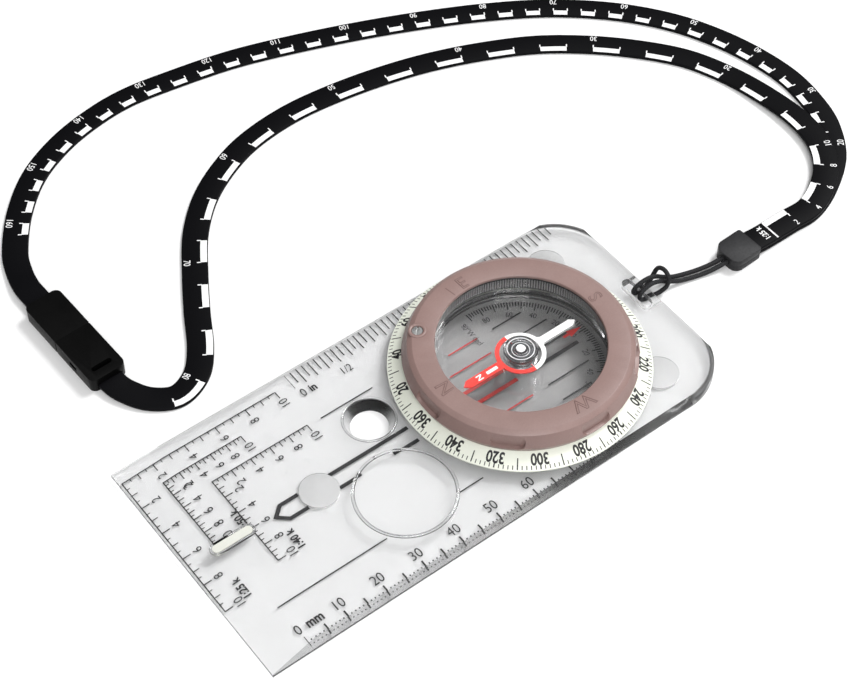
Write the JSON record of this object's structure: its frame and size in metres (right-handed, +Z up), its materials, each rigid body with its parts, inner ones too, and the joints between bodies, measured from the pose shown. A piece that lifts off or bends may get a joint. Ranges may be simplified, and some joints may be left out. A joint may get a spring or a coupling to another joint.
{
  "type": "baseplate compass",
  "caption": "Clear baseplate compass: turning dial and bezel, screw-set declination capsule, free needle, magnifier and a flat two-strap lanyard with a release buckle.",
  "frame": {"origin": "middle of the plate's outline, on the surface the feet rest on", "axes": "+Z up out of the plate, +Y along the direction of travel, +X towards the inch edge"},
  "size_m": [0.1614, 0.2051, 0.011],
  "materials": {
    "clear_acrylic": "clear moulded acrylic with black prints",
    "clear_silicone": "milky silicone",
    "luminous_white": "pale luminous resin",
    "luminous_dial": "pale luminous plastic with black graduation",
    "black_rubber": "matt",
    "tinted_bezel": "smoky brown translucent plastic, satin",
    "black_core": "satin",
    "clear_base": "clear with red and black prints",
    "spring_steel": "bright",
    "steel_screw": "turned",
    "brass_pinion": "cut",
    "black_gear": "satin",
    "clear_capsule": "clear",
    "hard_steel": "polished",
    "clear_hub": "clear",
    "white_jewel": "polished",
    "magnet_metal": "sintered, satin",
    "needle_paint": "red half and white half",
    "black_cord": "braided",
    "clamp_plastic": "fine grained",
    "black_webbing": "flat woven, white marks",
    "buckle_plastic": "fine grained"
  },
  "bodies": {
    "plate": {"baseplate": "clear_acrylic", "front_foot": "clear_silicone", "left_foot": "clear_silicone", "right_foot": "clear_silicone", "luminous_bar": "luminous_white", "lanyard_cord": "black_cord", "strap_25k": "black_webbing", "strap_50k": "black_webbing", "clamp_upper": "clamp_plastic", "clamp_lower": "clamp_plastic", "buckle_plug": "buckle_plastic"},
    "buckle_half": {"buckle_socket": "buckle_plastic"},
    "housing": {"dial_ring": "luminous_dial", "bezel_grip": "tinted_bezel", "bezel_core": "black_core", "housing_base": "clear_base", "retaining_ring": "spring_steel", "friction_ring": "black_rubber", "screw_seal": "black_rubber"},
    "adjuster": {"adjusting_screw": "steel_screw", "pinion": "brass_pinion"},
    "capsule": {"capsule_cup": "clear_capsule", "capsule_lid": "clear_capsule", "lid_gasket": "black_rubber", "gear_ring": "black_gear", "pivot_pin": "hard_steel"},
    "rotor": {"bearing_cup": "clear_hub", "jewel": "white_jewel", "magnet": "magnet_metal"},
    "needle": {"needle": "needle_paint"}
  },
  "joints": [
    {"name": "dial_turn", "type": "hinge", "parent": "plate", "child": "housing", "pos_m": [0, -0.025, 0.003], "axis": [0, 0, 1], "continuous": true},
    {"name": "screw_turn", "type": "hinge", "parent": "housing", "child": "adjuster", "pos_m": [0.0164, -0.0086, 0.008], "axis": [0, 0, 1], "range_deg": [-1350, 750]},
    {"name": "declination_turn", "type": "hinge", "parent": "housing", "child": "capsule", "pos_m": [0, -0.025, 0.0055], "axis": [0, 0, 1], "range_deg": [-50, 90]},
    {"name": "needle_swing", "type": "hinge", "parent": "capsule", "child": "rotor", "pos_m": [0, -0.025, 0.0065], "axis": [0, 0, 1], "continuous": true},
    {"name": "needle_tilt", "type": "hinge", "parent": "rotor", "child": "needle", "pos_m": [0, -0.025, 0.00668], "axis": [1, 0, 0], "range_deg": [-6, 6]},
    {"name": "buckle_pull", "type": "slide", "parent": "plate", "child": "buckle_half", "axis": [0.9994, 0.0349, 0], "range_m": [0, 0.0045]}
  ],
  "couplings": [
    {"joint": "screw_turn", "follows": "declination_turn", "ratio": -15}
  ]
}
